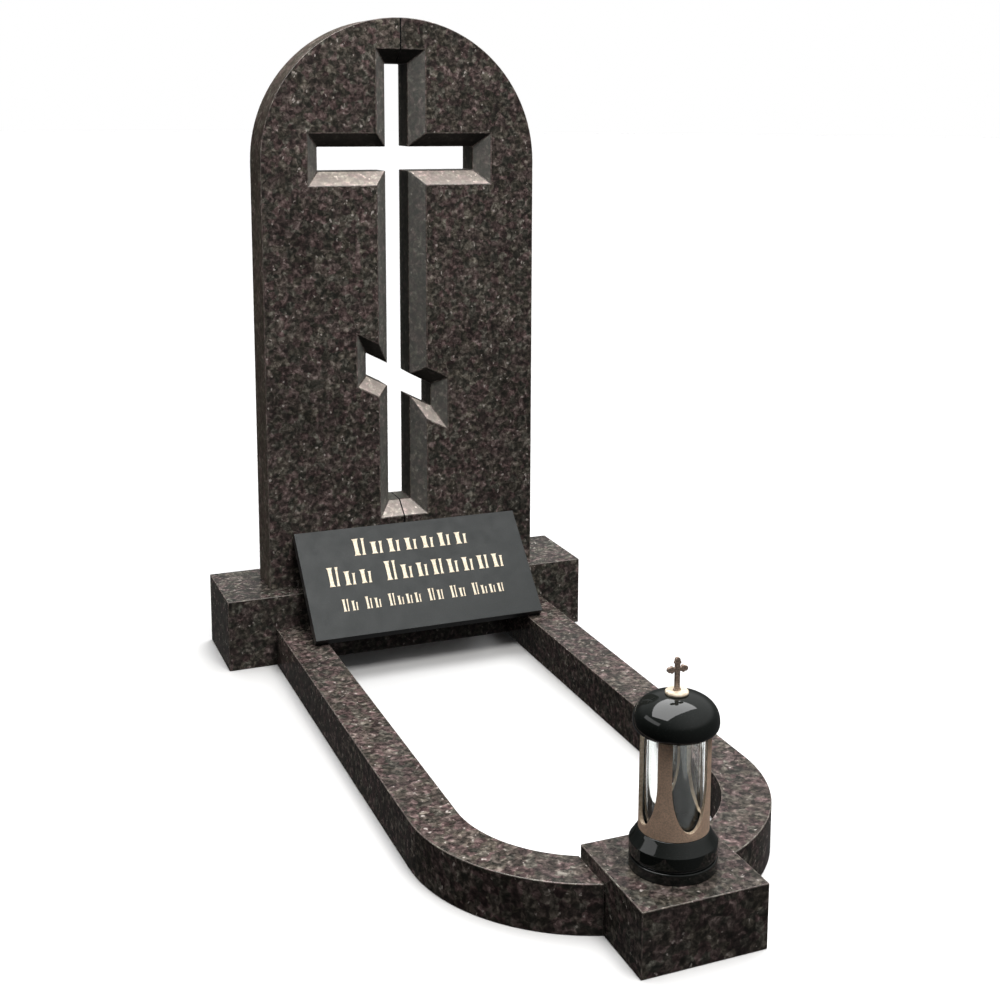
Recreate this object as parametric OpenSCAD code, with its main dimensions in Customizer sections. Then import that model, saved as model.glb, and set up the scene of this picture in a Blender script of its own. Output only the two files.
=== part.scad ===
// Orthodox cross headstone memorial in polished granite.
// An arched stele of two half slabs, pierced by a three-bar cross, stands on a
// plinth. A rounded kerb frames the planting bed, a sloped name plaque leans on
// the kerb against the stele, and a grave lantern stands on the front block.
// Millimetres, +Z up. The front faces -Y; the origin is the centre of the
// footprint, on the ground.

/* [Plinth] */
// Width of the plinth
plinth_w = 800; // [760:10:900]
// Depth of the plinth, front to back
plinth_d = 200; // [180:10:240]
// Height of the plinth
plinth_h = 150; // [140:5:160]

/* [Stele] */
// Width of the arched stele over both half slabs
stele_w = 600; // [580:10:640]
// Height of the stele above the plinth
stele_h = 1200; // [1190:5:1240]
// Thickness of the slabs
stele_t = 100; // [80:5:120]

/* [Cross] */
// Half width of the cross shaft at the front face
shaft_half = 54; // [50:1:60]
// Height of the shaft's foot above the ground
shaft_z0 = 281; // [275:1:290]
// Height of the shaft's top above the ground
shaft_z1 = 1286; // [1270:1:1290]
// Half length of the main bar at the front face
bar_half = 202; // [190:1:210]
// Height of the main bar's lower edge above the ground
bar_z0 = 1003; // [990:1:1010]
// Height of the main bar's upper edge above the ground
bar_z1 = 1112; // [1105:1:1120]
// Half length of the slanted foot bar, measured level
foot_half = 102; // [96:1:108]
// Height of the foot bar's middle above the ground
foot_z = 579; // [560:1:590]
// Fall of the foot bar to the right, in degrees
foot_angle = 27.7; // [24:0.1:30]
// Half width of the foot bar across its slope
foot_wide = 51; // [46:1:54]
// Width of the bevel that runs round the cross, seen from the front
bevel_run = 29; // [24:1:30]
// Depth of that bevel, into the slab
bevel_depth = 36; // [25:1:40]

/* [Kerb] */
// Outer width of the kerb
kerb_w = 600; // [580:10:640]
// Width of the kerb stone
kerb_t = 80; // [70:5:90]
// Height of the kerb stone
kerb_h = 80; // [70:5:90]
// Length of the kerb from the plinth's face to its rounded front
kerb_l = 1200; // [1180:10:1260]

/* [Front block] */
// Width and depth of the front block
block_w = 200; // [190:5:220]
// Height of the front block
block_h = 100; // [90:5:110]
// How far the block's front stands out past the kerb
block_out = 100; // [90:5:100]

/* [Name plaque] */
// Width of the plaque
plaque_w = 500; // [480:10:520]
// Length of the plaque up its slope
plaque_l = 250; // [250:1:255]
// Thickness of the plaque
plaque_t = 20; // [18:1:22]
// Slope of the plaque from level, in degrees
plaque_angle = 45; // [44:1:46]

/* [Lantern] */
// Diameter of the lantern's base
base_d = 128; // [124:1:134]
// Height of the lantern's base
base_h = 58; // [52:1:62]
// Outer diameter of the lantern's body
body_d = 102; // [98:1:110]
// Wall of the lantern's body
body_wall = 6; // [5:0.5:7]
// Height of the lantern's body
body_h = 145; // [140:1:160]
// Half width of a window, from its round foot up to the cap
window_half = 27.5; // [24:0.5:29]
// Height of a window's round foot above the body's foot
window_z0 = 12; // [10:1:20]
// Height above the body's foot where a window's round foot ends
window_zw = 82; // [60:1:95]
// Outer diameter of the glass tube
glass_d = 86; // [82:1:88]
// Wall of the glass tube
glass_wall = 2.5; // [2:0.5:4]
// Diameter of the domed cap
cap_d = 124; // [120:1:130]
// Height of the domed cap
cap_h = 55; // [48:1:60]
// Diameter of the disc under the small cross
disc_d = 34; // [32:1:38]
// Height of that disc
disc_h = 5; // [4:0.5:7]
// Height of the small cross
finial_h = 49; // [44:1:52]
// Thickness of the small cross
finial_t = 5; // [4:0.5:6]

/* [Hidden] */
$fn = 96;
granite = [0.20, 0.15, 0.14];
black = [0.06, 0.06, 0.07];
bronze = [0.55, 0.42, 0.30];
// overall depth, from the block's front to the plinth's back
all_d = kerb_l + block_out + plinth_d;
// the plinth's back and front, and the stele's front and back
plinth_y1 = all_d / 2;
plinth_y0 = plinth_y1 - plinth_d;
stele_y0 = plinth_y0 + (plinth_d - stele_t) / 2;
stele_y1 = stele_y0 + stele_t;
stele_r = stele_w / 2;
stele_top = plinth_h + stele_h;
arch_z = stele_top - stele_r;
// the kerb's rounded front
kerb_r = kerb_w / 2;
kerb_y0 = plinth_y0 - kerb_l;
kerb_cy = kerb_y0 + kerb_r;
block_y0 = kerb_y0 - block_out;
lantern_y = block_y0 + block_w / 2;
past = 2;

// A box from its low corner to its high corner.
module span(lo, hi) {
    translate(lo) cube(hi - lo);
}

// A bar that narrows with depth: its section is a trapezoid that is wide at the
// front face and loses bevel_run a side by bevel_depth, and it carries on a
// little past both. The section's middle is on X = 0, its front on Y = 0.
// It is drawn along Z, from z0 to z1.
module flare(half, z0, z1, depth = bevel_depth) {
    k = bevel_run / depth;
    a = half + k * past;
    b = half - bevel_run - k * past;
    translate([0, 0, z0])
        linear_extrude(z1 - z0)
            polygon([[-a, -past], [a, -past], [b, depth + past],
                     [-b, depth + past]]);
}

// The space of one level or upright bar: a hopper with four bevelled sides,
// then a straight slot to the back.
module straight_bar(x0, x1, z0, z1) {
    cx = (x0 + x1) / 2;
    cz = (z0 + z1) / 2;
    hx = (x1 - x0) / 2;
    hz = (z1 - z0) / 2;
    translate([cx, 0, cz]) {
        intersection() {
            flare(hx, -hz - 20, hz + 20);
            rotate([0, 90, 0]) flare(hz, -hx - 20, hx + 20);
        }
        span([-hx + bevel_run, -past, -hz + bevel_run],
             [hx - bevel_run, stele_t + past, hz - bevel_run]);
    }
}

// The space of the slanted foot bar. Its ends stay upright. Its bevel is a
// little shallower than the shaft's, so that their edges cross cleanly.
module foot_bar() {
    d = bevel_depth - 1.5;
    translate([0, 0, foot_z]) {
        intersection() {
            flare(foot_half, -200, 200, d);
            rotate([0, foot_angle, 0]) rotate([0, 90, 0]) flare(foot_wide, -200, 200, d);
        }
        intersection() {
            span([-foot_half + bevel_run, -past, -200],
                 [foot_half - bevel_run, stele_t + past, 200]);
            rotate([0, foot_angle, 0])
                span([-200, -2 * past, -foot_wide + bevel_run],
                     [200, stele_t + 2 * past, foot_wide - bevel_run]);
        }
    }
}

// The whole cross as one space, front face on the stele's front.
module cross_space() {
    translate([0, stele_y0, 0]) {
        straight_bar(-shaft_half, shaft_half, shaft_z0, shaft_z1);
        straight_bar(-bar_half, bar_half, bar_z0, bar_z1);
        foot_bar();
    }
}

// One half of the stele: side is -1 for the left half and 1 for the right.
module stele_half(side) {
    x0 = side < 0 ? -stele_r : 0;
    difference() {
        span([x0, stele_y0, plinth_h], [x0 + stele_r, stele_y1, stele_top]);
        difference() {
            span([x0 - 20, stele_y0 - 10, arch_z], [x0 + stele_r + 20, stele_y1 + 10, stele_top + 20]);
            translate([0, stele_y0 - 20, arch_z]) rotate([-90, 0, 0])
                cylinder(r = stele_r, h = stele_t + 40);
        }
        cross_space();
    }
}

module stele_left() {
    color(granite) stele_half(-1);
}

module stele_right() {
    color(granite) stele_half(1);
}

module plinth() {
    color(granite)
        span([-plinth_w / 2, plinth_y0, 0], [plinth_w / 2, plinth_y1, plinth_h]);
}

// One arm of the kerb: a straight rail that turns in a quarter round and butts
// against the side of the front block.
module kerb_arm(side) {
    x0 = side < 0 ? -kerb_r : block_w / 2;
    x1 = side < 0 ? -block_w / 2 : kerb_r;
    intersection() {
        span([x0, kerb_y0 - 10, 0], [x1, plinth_y0, kerb_h]);
        difference() {
            union() {
                span([-kerb_r, kerb_cy, 0], [kerb_r, plinth_y0, kerb_h]);
                translate([0, kerb_cy, 0]) cylinder(r = kerb_r, h = kerb_h);
            }
            span([-kerb_r + kerb_t, kerb_cy, -10], [kerb_r - kerb_t, plinth_y0 + 10, kerb_h + 10]);
            translate([0, kerb_cy, -10]) cylinder(r = kerb_r - kerb_t, h = kerb_h + 20);
        }
    }
}

module kerb_left() {
    color(granite) kerb_arm(-1);
}

module kerb_right() {
    color(granite) kerb_arm(1);
}

module front_block() {
    color(granite)
        span([-block_w / 2, block_y0, 0], [block_w / 2, block_y0 + block_w, block_h]);
}

// The plaque is a plain slab. Its lower back edge lies on the kerb, and its
// upper back edge leans on the stele's front face.
module name_plaque() {
    foot_y = stele_y0 - plaque_l * cos(plaque_angle);
    color(black)
        translate([0, foot_y, kerb_h]) rotate([plaque_angle, 0, 0])
            span([-plaque_w / 2, 0, 0], [plaque_w / 2, plaque_l, plaque_t]);
}

// Points of a quarter ellipse in a turned profile, about (cx, cz).
function quarter(cx, cz, rx, rz, a0, a1, n) =
    [for (i = [0 : n]) let (a = a0 + (a1 - a0) * i / n) [cx + rx * cos(a), cz + rz * sin(a)]];

// Two turned steps with a groove between them. The upper one slopes up to the
// foot of the body.
module lantern_base() {
    r = base_d / 2;
    low = base_h * 0.29;
    up = base_h * 0.71;
    color(black)
        translate([0, lantern_y, block_h]) rotate_extrude()
            polygon(concat(
                [[0, 0], [r - 1, 0], [r, 1]],
                quarter(r - 2.5, low - 2.5, 2.5, 2.5, 0, 90, 4),
                [[r - 5, low], [r - 5, low + 4], [r - 2, low + 4]],
                quarter(r - 2, low + 6, 2, 2, -60, 0, 3),
                quarter(r - 1.5, up - 1.5, 1.5, 1.5, 0, 53, 4),
                [[body_d / 2 + 1.2, base_h - 0.5], [body_d / 2 + 0.4, base_h], [0, base_h]]));
}

// The body is a tube with four tall windows. Each has a long round foot, a
// half ellipse, and straight sides that run out under the cap.
module window() {
    rotate([90, 0, 0])
        linear_extrude(body_d)
            polygon(concat(
                quarter(0, window_zw, window_half, window_zw - window_z0, 180, 360, 28),
                [[window_half, body_h + 5], [-window_half, body_h + 5]]));
}

module lantern_body() {
    color(bronze)
        translate([0, lantern_y, block_h + base_h])
            difference() {
                cylinder(d = body_d, h = body_h);
                translate([0, 0, -5]) cylinder(d = body_d - 2 * body_wall, h = body_h + 10);
                for (a = [0 : 90 : 270]) rotate([0, 0, a]) window();
            }
}

module lantern_glass() {
    color([0.85, 0.9, 0.9, 0.4])
        translate([0, lantern_y, block_h + base_h])
            difference() {
                cylinder(d = glass_d, h = body_h);
                translate([0, 0, -5]) cylinder(d = glass_d - 2 * glass_wall, h = body_h + 10);
            }
}

// The cap's profile above its rim, at angle a: 0 on the rim, 90 on the axis.
cap_rim = 14;
cap_seat = 76;
function cap_x(a) = cap_d / 2 * pow(cos(a), 0.87);
function cap_z(a) = cap_rim + (cap_h - cap_rim) * pow(sin(a), 0.87);

// A full, round dome that tucks in under its rim, with a small flat seat on top.
module lantern_cap() {
    r = cap_d / 2;
    color(black)
        translate([0, lantern_y, block_h + base_h + body_h]) rotate_extrude()
            polygon(concat(
                [[0, 0], [r - 10, 0]],
                quarter(r - 12, cap_rim, 12, cap_rim, -80, 0, 8),
                [for (i = [1 : 18]) let (a = cap_seat * i / 18) [cap_x(a), cap_z(a)]],
                [[0, cap_z(cap_seat)]]));
}

module finial_disc() {
    r = disc_d / 2;
    z = block_h + base_h + body_h + cap_z(cap_seat);
    color([0.85, 0.76, 0.58])
        translate([0, lantern_y, z]) rotate_extrude()
            polygon(concat([[0, 0], [r - 1, 0]],
                quarter(r - 2, disc_h / 2, 2, disc_h / 2, -60, 60, 6),
                [[r - 1, disc_h], [0, disc_h]]));
}

// A small cross with trefoil ends on a short foot.
module finial_cross() {
    z = block_h + base_h + body_h + cap_z(cap_seat) + disc_h;
    arm_z = finial_h * 0.64;
    arm = finial_h * 0.19;
    w = 3.6;
    arm_w = 2.8;
    lobe = 3.9;
    tips = [[0, finial_h - 1.8 * lobe, 0], [arm, arm_z, -90], [-arm, arm_z, 90]];
    color(bronze)
        translate([0, lantern_y + finial_t / 2, z]) rotate([90, 0, 0])
            linear_extrude(finial_t) {
                translate([-w, 0]) square([2 * w, finial_h - 1.8 * lobe]);
                translate([-arm, arm_z - arm_w]) square([2 * arm, 2 * arm_w]);
                translate([-5.4, 0]) square([10.8, 3]);
                for (t = tips) translate([t[0], t[1]]) rotate(t[2]) {
                    translate([0, lobe * 0.8]) circle(r = lobe, $fn = 32);
                    translate([-lobe * 0.74, -lobe * 0.1]) circle(r = lobe * 0.6, $fn = 32);
                    translate([lobe * 0.74, -lobe * 0.1]) circle(r = lobe * 0.6, $fn = 32);
                }
            }
}

plinth();
stele_left();
stele_right();
kerb_left();
kerb_right();
front_block();
name_plaque();
lantern_base();
lantern_body();
lantern_glass();
lantern_cap();
finial_disc();
finial_cross();
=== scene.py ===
import math
import random

import bpy
from mathutils import Matrix, Vector


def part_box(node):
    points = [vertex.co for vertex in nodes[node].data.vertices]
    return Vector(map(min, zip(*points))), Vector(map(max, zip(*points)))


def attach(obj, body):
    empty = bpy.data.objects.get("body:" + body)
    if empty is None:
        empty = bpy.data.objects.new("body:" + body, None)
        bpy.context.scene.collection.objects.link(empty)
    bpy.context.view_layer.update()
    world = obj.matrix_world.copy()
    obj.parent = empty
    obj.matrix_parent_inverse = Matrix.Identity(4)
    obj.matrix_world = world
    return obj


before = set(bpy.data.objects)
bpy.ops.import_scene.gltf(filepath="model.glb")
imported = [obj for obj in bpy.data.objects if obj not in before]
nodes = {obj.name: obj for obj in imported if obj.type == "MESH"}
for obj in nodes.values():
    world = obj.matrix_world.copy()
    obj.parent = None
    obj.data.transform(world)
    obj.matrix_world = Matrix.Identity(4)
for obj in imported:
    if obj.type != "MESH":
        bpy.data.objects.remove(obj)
scene = bpy.context.scene
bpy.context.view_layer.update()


# ---------------------------------------------------------------- node helpers
class Graph:
    """A material's node tree with short calls for the few nodes used here."""

    def __init__(self, name):
        self.mat = bpy.data.materials.new(name)
        self.mat.use_nodes = True
        self.tree = self.mat.node_tree
        self.tree.nodes.clear()
        self.out = self.tree.nodes.new("ShaderNodeOutputMaterial")
        self.bsdf = self.tree.nodes.new("ShaderNodeBsdfPrincipled")
        self.link(self.bsdf.outputs[0], self.out.inputs[0])
        self.coord = self.tree.nodes.new("ShaderNodeTexCoord").outputs["Object"]

    def link(self, a, b):
        self.tree.links.new(a, b)

    def put(self, socket, value):
        if hasattr(value, "is_output"):
            self.link(value, socket)
        elif hasattr(value, "__len__") and len(value) == 3 and socket.type == "RGBA":
            socket.default_value = (*value, 1)
        else:
            socket.default_value = value

    def math(self, op, a, b=0.0, c=0.0, clamp=False):
        n = self.tree.nodes.new("ShaderNodeMath")
        n.operation, n.use_clamp = op, clamp
        for s, v in zip(n.inputs, (a, b, c)):
            self.put(s, v)
        return n.outputs[0]

    def step(self, x, lo, hi):
        """0 below lo and 1 above hi, smooth between."""
        n = self.tree.nodes.new("ShaderNodeMapRange")
        n.interpolation_type = "SMOOTHSTEP"
        self.put(n.inputs["Value"], x)
        n.inputs["From Min"].default_value = lo
        n.inputs["From Max"].default_value = hi
        return n.outputs[0]

    def ramp_value(self, x, lo, hi, to_lo, to_hi):
        n = self.tree.nodes.new("ShaderNodeMapRange")
        self.put(n.inputs["Value"], x)
        for k, v in zip(("From Min", "From Max", "To Min", "To Max"), (lo, hi, to_lo, to_hi)):
            n.inputs[k].default_value = v
        return n.outputs[0]

    def move(self, offset=(0, 0, 0), scale=(1, 1, 1), rot=(0, 0, 0), vector=None):
        n = self.tree.nodes.new("ShaderNodeMapping")
        self.link(vector or self.coord, n.inputs[0])
        n.inputs["Location"].default_value = offset
        n.inputs["Rotation"].default_value = rot
        n.inputs["Scale"].default_value = scale
        return n.outputs[0]

    def noise(self, scale, detail=3.0, rough=0.55, vector=None, distort=0.0):
        n = self.tree.nodes.new("ShaderNodeTexNoise")
        self.link(vector or self.coord, n.inputs["Vector"])
        n.inputs["Scale"].default_value = scale
        n.inputs["Detail"].default_value = detail
        n.inputs["Roughness"].default_value = rough
        n.inputs["Distortion"].default_value = distort
        return n.outputs["Fac"]

    def cells(self, scale, vector=None, feature="F1", random_=1.0):
        n = self.tree.nodes.new("ShaderNodeTexVoronoi")
        n.feature = feature
        self.link(vector or self.coord, n.inputs["Vector"])
        n.inputs["Scale"].default_value = scale
        n.inputs["Randomness"].default_value = random_
        return n

    def channel(self, colour, which):
        n = self.tree.nodes.new("ShaderNodeSeparateColor")
        self.link(colour, n.inputs[0])
        return n.outputs[which]

    def mix(self, fac, a, b, mode="MIX"):
        n = self.tree.nodes.new("ShaderNodeMix")
        n.data_type, n.blend_type = "RGBA", mode
        self.put(n.inputs[0], fac)
        self.put(n.inputs[6], a)
        self.put(n.inputs[7], b)
        return n.outputs[2]

    def ramp(self, x, stops, constant=False):
        n = self.tree.nodes.new("ShaderNodeValToRGB")
        self.put(n.inputs[0], x)
        n.color_ramp.interpolation = "CONSTANT" if constant else "LINEAR"
        e = n.color_ramp.elements
        while len(e) < len(stops):
            e.new(0.5)
        for el, (p, col) in zip(e, stops):
            el.position, el.color = p, (*col, 1)
        return n.outputs[0]

    def bump(self, height, strength, distance):
        n = self.tree.nodes.new("ShaderNodeBump")
        n.inputs["Strength"].default_value = strength
        n.inputs["Distance"].default_value = distance
        self.link(height, n.inputs["Height"])
        self.link(n.outputs[0], self.bsdf.inputs["Normal"])

    def set(self, **values):
        for k, v in values.items():
            self.put(self.bsdf.inputs[k.replace("_", " ")], v)
        return self.mat


def warped(g, amount, scale):
    """The coordinate pushed about by noise, so that grains aren't straight-sided."""
    n = g.tree.nodes.new("ShaderNodeTexNoise")
    g.link(g.coord, n.inputs["Vector"])
    n.inputs["Scale"].default_value = scale
    n.inputs["Detail"].default_value = 2.0
    sub = g.tree.nodes.new("ShaderNodeVectorMath")
    sub.operation = "SUBTRACT"
    g.link(n.outputs["Color"], sub.inputs[0])
    sub.inputs[1].default_value = (0.5, 0.5, 0.5)
    mul = g.tree.nodes.new("ShaderNodeVectorMath")
    mul.operation = "SCALE"
    g.link(sub.outputs[0], mul.inputs[0])
    mul.inputs["Scale"].default_value = amount
    add = g.tree.nodes.new("ShaderNodeVectorMath")
    add.operation = "ADD"
    g.link(g.coord, add.inputs[0])
    g.link(mul.outputs[0], add.inputs[1])
    return add.outputs[0]


# ------------------------------------------------------------------- materials
def granite(name, seed, gain=1.0, honed_tone_and_painted_light=0.0, honed_tone_and_painted_light_colour=(0.2, 0.17, 0.155), rough=0.2, shine=0.22, joint=False, pink=0.0):
    """Dark brown granite: a mosaic of olive, purple-brown and black-green grains 5 to 15 mm
    across, smaller pinkish-grey feldspar among them, and a few pale sparks."""
    g = Graph(name)
    keep = g.coord
    g.coord = g.move(offset=(seed * 1.7, seed * 0.9, seed * 2.3))
    w = warped(g, 0.014, 80.0)
    big = g.cells(72.0, w)
    fine = g.cells(150.0, g.move(offset=(4.1, 2.7, 1.9), vector=w))
    big_tone = g.channel(big.outputs["Color"], 0)
    fine_tone = g.channel(fine.outputs["Color"], 0)
    mottle = g.noise(100.0, 3.2, 0.58, distort=0.5)
    cluster = g.noise(34.0, 2.0, 0.5)
    level = g.math("MULTIPLY", g.math("SUBTRACT", mottle, 0.5), 1.35)
    level = g.math("ADD", level, g.math("MULTIPLY", g.math("SUBTRACT", cluster, 0.5), 0.26))
    level = g.math("ADD", level, g.math("MULTIPLY", g.math("SUBTRACT", big_tone, 0.5), 0.20))
    level = g.math("ADD", level, g.math("MULTIPLY", g.math("SUBTRACT", fine_tone, 0.5), 0.24))
    level = g.math("ADD", level, 0.5)
    colour = g.ramp(level, [
        (0.20, (0.0165, 0.0155, 0.0142)), (0.36, (0.029, 0.0255, 0.0232)), (0.50, (0.050, 0.0425, 0.0388)),
        (0.62, (0.083, 0.070, 0.0642)), (0.74, (0.128, 0.110, 0.101)), (0.90, (0.24, 0.212, 0.197))])
    if pink:
        colour = g.mix(1.0, colour, (1.0 + pink, 1.0 - pink, 1.0 - 0.5 * pink), "MULTIPLY")
    # each grain has a tint of its own: olive, purple-brown, grey or green-black
    hue = g.channel(big.outputs["Color"], 1)
    tint = g.ramp(hue, [(0.0, (1.12, 0.94, 0.97)), (0.30, (1.06, 0.99, 1.0)), (0.55, (0.98, 1.04, 0.92)), (0.8, (0.92, 1.05, 0.97)), (1.0, (1.04, 1.01, 0.96))])
    colour = g.mix(1.0, colour, tint, "MULTIPLY")
    # pale sparks, irregular and few
    spark = g.cells(205.0, g.move(scale=(1.0, 1.0, 0.7), rot=(0.4, 0.7, 0.3), vector=w))
    smask = g.math("MULTIPLY", g.math("LESS_THAN", g.channel(spark.outputs["Color"], 0), g.ramp_value(level, 0.45, 0.75, 0.004, 0.055)),
                   g.math("SUBTRACT", 1.0, g.step(spark.outputs["Distance"], 0.25, 0.65)))
    colour = g.mix(g.math("MULTIPLY", smask, 0.85), colour, (0.40, 0.36, 0.335))
    # slow drift of tone through the block
    # gain scales the colour: a piece's own tone, and on the stele's facet copies their painted light and shade
    drift = g.ramp_value(g.noise(6.5, 3.0), 0.3, 0.7, 0.80 * gain, 1.22 * gain)
    colour = g.mix(1.0, colour, g.combine(drift), "MULTIPLY")
    # a flat tone mixed in: painted highlight on sills, painted light on cheeks, painted shade on soffits, slot walls
    # and sides; on the arrises partly the paler ground stone, partly painted highlight
    if honed_tone_and_painted_light > 0:
        honed_grit_and_painted_light = g.ramp(g.noise(900.0, 2.0, 0.7), [(0.3, tuple(0.78 * c for c in honed_tone_and_painted_light_colour)), (0.7, tuple(1.2 * c for c in honed_tone_and_painted_light_colour))])
        colour = g.mix(honed_tone_and_painted_light, colour, honed_grit_and_painted_light)
    if joint:
        # the joint between the half slabs is a dark line
        sep = g.tree.nodes.new("ShaderNodeSeparateXYZ")
        g.link(keep, sep.inputs[0])
        near = g.math("SUBTRACT", 1.0, g.step(g.math("ABSOLUTE", sep.outputs[0]), 0.0014, 0.0020))
        colour = g.mix(near, colour, (0.004, 0.004, 0.004))
    g.put(g.bsdf.inputs["Base Color"], colour)
    # polished, with grain edges and mica a touch duller
    r = g.ramp_value(g.noise(160.0, 2.0), 0.3, 0.7, rough * 0.8, rough * 1.25)
    g.put(g.bsdf.inputs["Roughness"], r)
    g.bsdf.inputs["IOR"].default_value = 1.5
    g.bsdf.inputs["Specular IOR Level"].default_value = shine
    if rough > 0.35:
        g.bump(g.noise(700.0, 3.0, 0.7), 0.35, 0.0006)
    else:
        g.bump(g.noise(60.0, 2.0), 0.04, 0.0004)
    g.coord = keep
    return g.mat


def combine(self, x):
    n = self.tree.nodes.new("ShaderNodeCombineColor")
    for i in range(3):
        self.put(n.inputs[i], x)
    return n.outputs[0]


Graph.combine = combine


def black_granite(name, base=(0.0045, 0.0052, 0.0048), speck=(0.013, 0.014, 0.0135), rough=0.06, share=0.12, shine=0.5):
    g = Graph(name)
    c = g.cells(900.0)
    pick = g.channel(c.outputs["Color"], 0)
    mask = g.math("MULTIPLY", g.math("LESS_THAN", pick, share),
                  g.math("SUBTRACT", 1.0, g.step(c.outputs["Distance"], 0.25, 0.5)))
    soft = g.noise(60.0, 4.0, 0.6)
    ground = g.mix(soft, tuple(0.85 * v for v in base), tuple(1.15 * v for v in base))
    g.put(g.bsdf.inputs["Base Color"], g.mix(mask, ground, speck))
    g.put(g.bsdf.inputs["Roughness"], g.ramp_value(g.noise(40.0, 3.0), 0.3, 0.7, rough * 0.85, rough * 1.2))
    g.bsdf.inputs["IOR"].default_value = 1.55
    g.bsdf.inputs["Specular IOR Level"].default_value = shine
    return g.mat


def bronze_body(name, tint=(0.30, 0.185, 0.125), rough=0.5, metal=0.35):
    """Powdery bronze paint over a casting: fine grain, a little darker in patches."""
    g = Graph(name)
    grain = g.noise(1500.0, 2.0, 0.7)
    patch = g.noise(38.0, 4.0, 0.6)
    a = g.mix(grain, tuple(0.62 * v for v in tint), tuple(1.42 * v for v in tint))
    b = g.mix(g.step(patch, 0.42, 0.68), a, g.mix(grain, tuple(0.8 * v for v in tint), tuple(1.6 * v for v in tint)))
    # the casting's own mottle, 2 to 3 mm across
    mottle = g.noise(430.0, 2.0, 0.75)
    b = g.mix(1.0, b, g.mix(g.step(mottle, 0.36, 0.64), (0.86, 0.86, 0.86), (1.15, 1.15, 1.15)), mode="MULTIPLY")
    g.put(g.bsdf.inputs["Base Color"], b)
    g.bsdf.inputs["Metallic"].default_value = metal
    g.put(g.bsdf.inputs["Roughness"], g.ramp_value(grain, 0.3, 0.7, rough * 0.85, rough * 1.2))
    g.bump(grain, 0.25, 0.0003)
    return g.mat


def plain_noise(name, dark, light, scale, rough, metal=0.0, bump=0.0):
    g = Graph(name)
    n = g.noise(scale, 4.0, 0.6)
    g.put(g.bsdf.inputs["Base Color"], g.mix(g.step(n, 0.32, 0.68), dark, light))
    g.bsdf.inputs["Metallic"].default_value = metal
    g.put(g.bsdf.inputs["Roughness"], g.ramp_value(n, 0.3, 0.7, rough * 0.85, rough * 1.2))
    if bump:
        g.bump(n, bump, 0.0004)
    return g.mat


def glass(name):
    g = Graph(name)
    b = g.bsdf.inputs
    b["Base Color"].default_value = (0.96, 0.985, 0.975, 1)
    b["Roughness"].default_value = 0.02
    b["IOR"].default_value = 1.45
    b["Transmission Weight"].default_value = 1.0
    return g.mat


stone = granite("brown_granite", 0.0, gain=1.06, pink=0.012)
stone_right = granite("brown_granite_b", 3.0, gain=1.03, pink=0.015)
stone_plinth = granite("brown_granite_c", 7.0)
stone_kerb = granite("brown_granite_d", 11.0, pink=0.03)
stone_block = granite("brown_granite_e", 17.0, gain=0.88, pink=0.015)
# paler arrises: partly the ground stone's own paler tone, partly painted highlight along the edges
arris = granite("granite_arris_painted_highlight", 5.0, gain=1.5, honed_tone_and_painted_light=0.25, honed_tone_and_painted_light_colour=(0.16, 0.13, 0.12), rough=0.25, shine=0.5)
arris_stele = granite("granite_arris_painted_highlight_stele", 5.0, gain=1.5, honed_tone_and_painted_light=0.25, honed_tone_and_painted_light_colour=(0.16, 0.13, 0.12), rough=0.25, shine=0.5, joint=True)
# lit and shaded copies of the stele stone, one per facet: painted highlight on the sills, painted light on the cheeks,
# painted shade on the soffits, slot walls and outer sides
sill = granite("granite_sill_painted_highlight", 9.0, gain=4.6, honed_tone_and_painted_light=0.5, honed_tone_and_painted_light_colour=(0.54, 0.47, 0.43), rough=0.45)
cheek = granite("granite_cheek_painted_light", 9.0, gain=2.2, honed_tone_and_painted_light=0.62, honed_tone_and_painted_light_colour=(0.15, 0.152, 0.142), rough=0.4)
soffit = granite("granite_soffit_painted_shade", 9.0, gain=0.4, honed_tone_and_painted_light=0.6, honed_tone_and_painted_light_colour=(0.018, 0.018, 0.0165), rough=0.35, shine=0.15)
wall = granite("granite_slot_wall_painted_shade", 9.0, gain=1.3, honed_tone_and_painted_light=0.55, honed_tone_and_painted_light_colour=(0.085, 0.088, 0.074), rough=0.35, shine=0.14)
side = granite("granite_side_painted_shade", 13.0, gain=1.4, honed_tone_and_painted_light=0.35, honed_tone_and_painted_light_colour=(0.065, 0.047, 0.031), rough=0.4, shine=0.06)
plaque_face = black_granite("plaque_granite_face", base=(0.0195, 0.0218, 0.0215), speck=(0.035, 0.038, 0.0385), rough=0.4, share=0.22, shine=0.22)
plaque_edge = black_granite("plaque_granite_edge", base=(0.022, 0.023, 0.024), speck=(0.05, 0.052, 0.055), rough=0.3)
gloss_black = black_granite("lantern_black_granite", base=(0.0068, 0.0082, 0.0074), speck=(0.017, 0.0195, 0.018), rough=0.05)
tan = bronze_body("lantern_bronze_paint", tint=(0.62, 0.44, 0.325))
# the inside of the body painted near-black as painted shade
tan_inside_painted_shade = bronze_body("lantern_inside_painted_shade", tint=(0.032, 0.033, 0.033), rough=0.6, metal=0.0)
tan_cut = plain_noise("lantern_cut_edge", (0.34, 0.25, 0.175), (0.54, 0.43, 0.31), 260.0, 0.38, metal=0.25)
clear = glass("lantern_clear_glass")
cream = plain_noise("finial_cream_onyx", (0.58, 0.48, 0.36), (0.78, 0.68, 0.54), 160.0, 0.22)
old_bronze = plain_noise("finial_dark_bronze", (0.13, 0.092, 0.072), (0.42, 0.32, 0.26), 420.0, 0.36, metal=0.35, bump=0.3)
gilt = plain_noise("inscription_gilt", (0.56, 0.46, 0.33), (0.80, 0.71, 0.56), 260.0, 0.42, metal=0.15)


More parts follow.
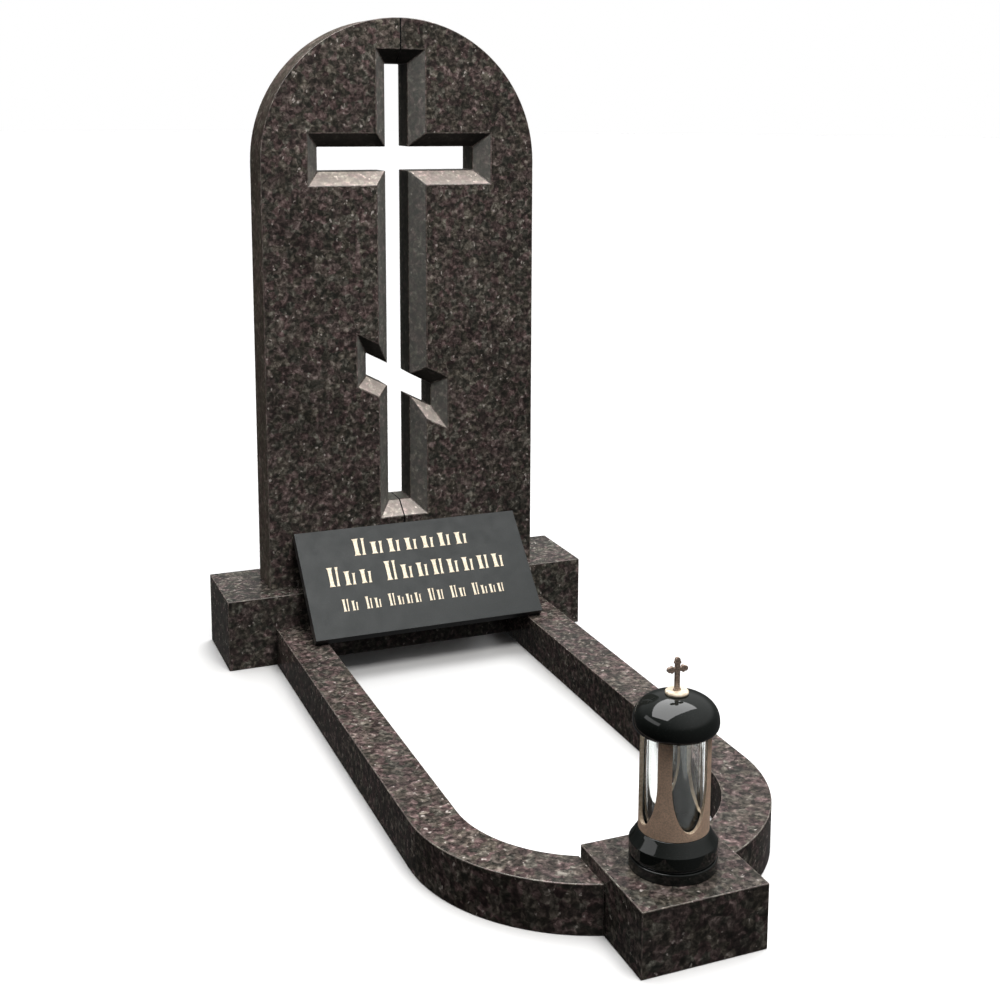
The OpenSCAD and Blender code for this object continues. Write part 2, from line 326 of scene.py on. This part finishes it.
# ------------------------------------------------------- the CAD pieces' finish
def finish_node(name, materials, which=None, width=0.0016, edge=None, segments=2, angle=30.0):
    """Materials on a CAD node, face by face, with ground arrises by modifier."""
    o = nodes[name]
    me = o.data
    if me.has_custom_normals:
        with bpy.context.temp_override(object=o, active_object=o, selected_objects=[o], selected_editable_objects=[o]):
            bpy.ops.mesh.customdata_custom_splitnormals_clear()
    me.materials.clear()
    for m in materials:
        me.materials.append(m)
    if edge is not None:
        me.materials.append(edge)
    for p in me.polygons:
        p.use_smooth = True
        p.material_index = which(p.center, p.normal) if which else 0
    weld = o.modifiers.new("weld", "WELD")
    weld.merge_threshold = 0.00002
    if width:
        flat = o.modifiers.new("planar", "DECIMATE")
        flat.decimate_type = "DISSOLVE"
        flat.angle_limit = math.radians(0.6)
        flat.delimit = {"MATERIAL"}
        bev = o.modifiers.new("arris", "BEVEL")
        bev.width = width
        bev.segments = segments
        bev.limit_method = "ANGLE"
        bev.angle_limit = math.radians(angle)
        bev.use_clamp_overlap = False
        if edge is not None:
            bev.material = len(me.materials) - 1
    wn = o.modifiers.new("normals", "WEIGHTED_NORMAL")
    wn.keep_sharp = False
    wn.weight = 50
    return o


s_lo, s_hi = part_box("stele_left")
front_y = s_lo.y
arch_r = -s_lo.x
arch_z = s_hi.z - arch_r


def stele_face(c, n):
    """0 polished face, 1 sill with painted highlight, 2 cheek with painted light, 3 soffit with painted shade, 4 slot
    wall with painted shade, 5 outer side with painted shade.
    """
    if -0.95 < n.y < -0.2 and c.y < front_y + 0.037:
        if abs(n.x) > 0.6:
            return 2
        return 1 if n.z > 0 else 3
    inside_arch = c.z < arch_z or math.hypot(c.x, c.z - arch_z) < arch_r - 0.02
    inner = inside_arch and abs(c.x) < arch_r - 0.02 and c.z > s_lo.z + 0.05 and abs(n.y) < 0.2 and abs(c.x) > 0.002
    if inner:
        return 4
    if abs(n.y) < 0.2 and abs(c.x) > 0.002:
        return 5
    return 0


# each facet takes its copy, with the light and shade painted in
finish_node("stele_left", [stone, sill, cheek, soffit, wall, side], stele_face, edge=arris_stele)
finish_node("stele_right", [stone_right, sill, cheek, soffit, wall, side], stele_face, edge=arris_stele)
finish_node("plinth", [stone_plinth], edge=arris)
finish_node("kerb_left", [stone_kerb], edge=arris)
finish_node("kerb_right", [stone_kerb], edge=arris)
finish_node("front_block", [stone_block], edge=arris)
finish_node("name_plaque", [plaque_face, plaque_edge],
            lambda c, n: 0 if n.y < -0.5 and n.z > 0.5 else 1, width=0.0008)

l_lo, l_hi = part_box("lantern_body")
axis = Vector(((l_lo.x + l_hi.x) / 2, (l_lo.y + l_hi.y) / 2, 0))
r_out = (l_hi.x - l_lo.x) / 2


def body_face(c, n):
    """0 outside, 1 inside with painted shade, 2 cut edge of a window."""
    d = Vector((c.x - axis.x, c.y - axis.y, 0))
    r = d.length
    if abs(n.z) > 0.9 and (c.z < l_lo.z + 0.002 or c.z > l_hi.z - 0.002):
        return 0
    radial = n.dot(d.normalized()) if r > 1e-6 else 0
    if radial > 0.85 and r > r_out - 0.0015:
        return 0
    if radial < -0.85:
        return 1
    return 2


finish_node("lantern_body", [tan, tan_inside_painted_shade, tan_cut], body_face, width=0.0006, angle=40.0, segments=2)
finish_node("lantern_base", [gloss_black], width=0)
finish_node("lantern_cap", [gloss_black], width=0)
finish_node("lantern_glass", [clear], width=0)
finish_node("finial_disc", [cream], width=0)
finish_node("finial_cross", [old_bronze], width=0.0006, angle=40.0)


# ------------------------------------------------- the plaque's rows of strokes
def mesh_object(name, verts, faces, material, smooth=False):
    me = bpy.data.meshes.new(name)
    me.from_pydata(verts, [], faces)
    me.update()
    for p in me.polygons:
        p.use_smooth = smooth
    o = bpy.data.objects.new(name, me)
    scene.collection.objects.link(o)
    me.materials.append(material)
    return o


q_lo, q_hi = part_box("name_plaque")
# the plaque's face: u runs to the right, v up the slope, w out of the face
thick = 0.020
slope = math.atan2(q_hi.z - q_lo.z, q_hi.y - q_lo.y)
u_axis = Vector((1, 0, 0))
v_axis = Vector((0, math.cos(slope), math.sin(slope)))
w_axis = u_axis.cross(v_axis)
# lower front corner line of the sloped face
low = Vector((0, q_lo.y, q_lo.z + thick * math.cos(slope)))


def stroke_row(v0, height, words, unit, rng):
    """One row: each word is a run of upright wedge-ended strokes, thick and thin by turns."""
    verts, faces = [], []
    total = sum(words) * unit + (len(words) - 1) * unit * 0.62
    x = -total / 2
    for count in words:
        for i in range(count):
            tall = height * (1.0 if i == 0 else rng.choice((0.72, 0.72, 0.80)))
            for k in range(2):
                wide = unit * (0.30 if k == 0 else 0.17)
                cx = x + unit * (0.26 if k == 0 else 0.66)
                h = tall * (1.0 if k == 0 else rng.choice((0.82, 1.0)))
                lean = 0.0 if k == 0 else unit * 0.06
                wedge(verts, faces, cx, v0, wide, h, lean)
            x += unit
        x += unit * 0.62
    return verts, faces


def wedge(verts, faces, cx, v0, wide, h, lean):
    """A stroke with flared ends, standing 0.5 mm proud, its edges chamfered."""
    prof = [(0.0, 1.25), (0.06, 1.0), (0.14, 0.80), (0.5, 0.72), (0.86, 0.80), (0.94, 1.0), (1.0, 1.25)]
    base = len(verts)
    for level, (inset, rise) in enumerate(((0.0, 0.0), (0.0, 0.00035), (0.0006, 0.0006))):
        for t, s in prof:
            half = max(wide * s / 2 - inset, 0.0004)
            vv = v0 + inset + t * (h - 2 * inset)
            mid = cx + lean * (t - 0.5)
            for sx in (-1, 1):
                p = low + u_axis * (mid + sx * half) + v_axis * vv + w_axis * (rise - 0.0001)
                verts.append(p)
    n = len(prof)

    def at(level, i, side):
        return base + level * 2 * n + 2 * i + side

    for level in (0, 1):
        for i in range(n - 1):
            faces.append((at(level, i, 0), at(level, i + 1, 0), at(level + 1, i + 1, 0), at(level + 1, i, 0))[::-1])
            faces.append((at(level, i, 1), at(level, i + 1, 1), at(level + 1, i + 1, 1), at(level + 1, i, 1)))
        faces.append((at(level, 0, 0), at(level, 0, 1), at(level + 1, 0, 1), at(level + 1, 0, 0)))
        faces.append((at(level, n - 1, 0), at(level, n - 1, 1), at(level + 1, n - 1, 1), at(level + 1, n - 1, 0))[::-1])
    for i in range(n - 1):
        faces.append((at(2, i, 0), at(2, i, 1), at(2, i + 1, 1), at(2, i + 1, 0)))
        faces.append((at(0, i, 0), at(0, i, 1), at(0, i + 1, 1), at(0, i + 1, 0))[::-1])


rng = random.Random(7)
rows = (
    ("inscription_row_1", 0.182, 0.040, (7,), 0.0382),
    ("inscription_row_2", 0.116, 0.045, (3, 8), 0.0346),
    ("inscription_row_3", 0.057, 0.028, (2, 2, 4, 2, 2, 4), 0.0190),
)
for name, v0, height, words, unit in rows:
    verts, faces = stroke_row(v0, height, words, unit, rng)
    o = mesh_object(name, verts, faces, gilt)
    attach(o, "root")

# ----------------------------------------------------------- floor and lights
floor_g = Graph("studio_floor")
floor_g.bsdf.inputs["Base Color"].default_value = (0.66, 0.66, 0.66, 1)
floor_g.bsdf.inputs["Roughness"].default_value = 0.75
floor_g.bsdf.inputs["Specular IOR Level"].default_value = 0.2
n = 96
ring = [(60 * math.cos(2 * math.pi * i / n), 60 * math.sin(2 * math.pi * i / n), -0.0002) for i in range(n)]
floor = mesh_object("studio_floor", ring, [tuple(range(n))], floor_g.mat)
floor.visible_glossy = False
floor.visible_diffuse = False

world = bpy.data.worlds.new("studio")
scene.world = world
world.use_nodes = True
wt = world.node_tree
bg = wt.nodes["Background"]
wc = wt.nodes.new("ShaderNodeTexCoord")
ws = wt.nodes.new("ShaderNodeSeparateXYZ")
wt.links.new(wc.outputs["Generated"], ws.inputs[0])
wr = wt.nodes.new("ShaderNodeValToRGB")
wt.links.new(ws.outputs[2], wr.inputs[0])
stops = [(0.0, 0.07), (0.14, 0.10), (0.36, 0.40), (0.70, 0.50), (1.0, 0.50)]
e = wr.color_ramp.elements
while len(e) < len(stops):
    e.new(0.5)
for el, (p, v) in zip(e, stops):
    el.position, el.color = p, (v, v, v, 1)
lp = wt.nodes.new("ShaderNodeLightPath")
wm = wt.nodes.new("ShaderNodeMix")
wm.data_type = "RGBA"
wt.links.new(lp.outputs["Is Camera Ray"], wm.inputs[0])
# a dark flag on the left, as in a studio, so that the left faces stay deep
flag = wt.nodes.new("ShaderNodeMapRange")
wt.links.new(ws.outputs[0], flag.inputs["Value"])
for key, value in (("From Min", -0.9), ("From Max", 0.35), ("To Min", 0.12), ("To Max", 1.0)):
    flag.inputs[key].default_value = value
dim = wt.nodes.new("ShaderNodeVectorMath")
dim.operation = "SCALE"
wt.links.new(wr.outputs[0], dim.inputs[0])
wt.links.new(flag.outputs[0], dim.inputs["Scale"])
wt.links.new(dim.outputs[0], wm.inputs[6])
wm.inputs[7].default_value = (1, 1, 1, 1)
wt.links.new(wm.outputs[2], bg.inputs[0])
bg.inputs[1].default_value = 1.0


def area(name, place, target, size, power, colour=(1, 1, 1)):
    d = bpy.data.lights.new(name, "AREA")
    d.shape = "RECTANGLE"
    d.size, d.size_y = size
    d.energy = power
    d.color = colour
    o = bpy.data.objects.new(name, d)
    scene.collection.objects.link(o)
    o.location = place
    o.rotation_euler = (Vector(target) - Vector(place)).to_track_quat("-Z", "Y").to_euler()
    return o


sun_data = bpy.data.lights.new("overhead_diffuser", "SUN")
sun_data.energy = 4.4
sun_data.angle = math.radians(62)
sun = bpy.data.objects.new("overhead_diffuser", sun_data)
scene.collection.objects.link(sun)
sun.rotation_euler = Vector((-0.20, -0.20, -0.95)).to_track_quat("-Z", "Y").to_euler()
sun.visible_glossy = False
key = area("stele_key", (0.1, -1.6, 3.2), (0, 0.6, 1.2), (1.0, 1.0), 88, (1.0, 0.985, 0.965))
key.visible_glossy = False
# two panels that only show in the polish: one overhead, one at the left
top_panel = area("top_panel", (-0.32, -0.02, 2.25), (-0.32, -0.021, 0), (3.15, 1.9), 78)
top_panel.rotation_euler.rotate_axis("Z", math.radians(23))
top_panel.visible_diffuse = False
left_panel = area("left_panel", (-1.85, -0.3, 1.2), (0, -0.65, 0.15), (1.9, 0.5), 3.6)
left_panel.visible_diffuse = False
fill = area("left_fill", (-2.5, 1.1, 1.0), (-0.4, 0.6, 0.25), (1.2, 1.2), 17, (1.0, 0.98, 0.95))
fill.visible_glossy = False

# ---------------------------------------------------------------------- camera
cam_data = bpy.data.cameras.new("photo_camera")
cam = bpy.data.objects.new("photo_camera", cam_data)
scene.collection.objects.link(cam)
scene.camera = cam
az, pitch, roll = 0.4035, 0.1634, 0.0074
f_px, cx_px, cy_px = 1453.56, 540.0, 345.0
cam_data.sensor_width = 36.0
cam_data.lens = f_px / 1000 * 36.0
cam_data.shift_x = (500 - cx_px) / 1000
cam_data.shift_y = (cy_px - 500) / 1000
fwd = Vector((math.sin(az) * math.cos(pitch), math.cos(az) * math.cos(pitch), -math.sin(pitch)))
right = Vector((math.cos(az), -math.sin(az), 0))
up = right.cross(fwd)
r2 = right * math.cos(roll) + up * math.sin(roll)
u2 = up * math.cos(roll) - right * math.sin(roll)
cam.matrix_world = Matrix((
    (r2.x, u2.x, -fwd.x, -0.94112),
    (r2.y, u2.y, -fwd.y, -2.90509 + 0.55),
    (r2.z, u2.z, -fwd.z, 1.17182),
    (0, 0, 0, 1)))
cam_data.clip_end = 200

scene.view_settings.view_transform = "Standard"
scene.view_settings.look = "None"

bpy.context.view_layer.update()
